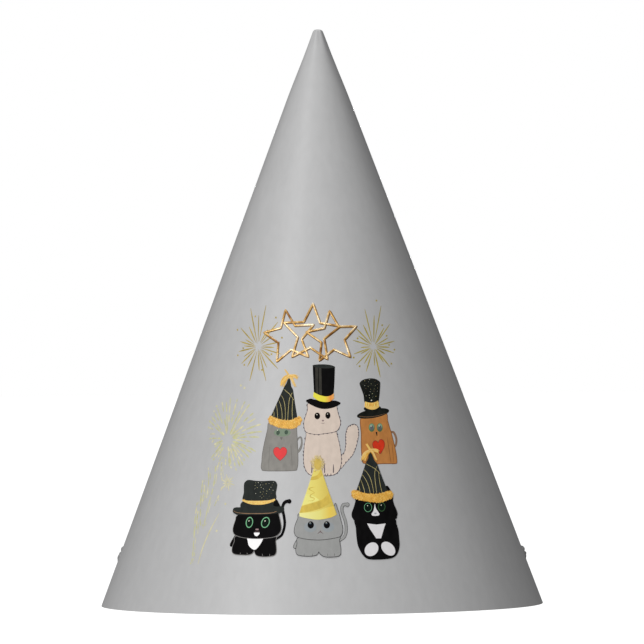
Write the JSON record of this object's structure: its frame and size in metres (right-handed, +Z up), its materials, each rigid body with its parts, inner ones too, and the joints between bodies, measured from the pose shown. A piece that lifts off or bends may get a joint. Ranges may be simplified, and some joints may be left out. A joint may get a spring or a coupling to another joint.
{
  "type": "paper party hat",
  "caption": "Cone party hat rolled from one printed card sheet, lapped and glued at the back, with a knotted elastic chin cord.",
  "frame": {"origin": "centre of the rim circle, on the surface that the hat stands on", "axes": "+Z up along the cone's axis to the tip, -Y towards the printed front, +Y towards the glued seam, +X to the right seen from the front"},
  "size_m": [0.142, 0.1425, 0.185],
  "materials": {
    "card_print": "satin silver-grey print on coated card",
    "adhesive": "clear-drying glue film",
    "elastic": "braided round elastic, silver grey",
    "gold_ink": "gold print, satin",
    "black_ink": "black print, satin",
    "colour_ink": "coloured print, satin"
  },
  "bodies": {
    "root": {"card_cone": "card_print", "seam_adhesive": "adhesive", "elastic_cord": "elastic", "knot_left": "elastic", "knot_right": "elastic"}
  },
  "joints": []
}
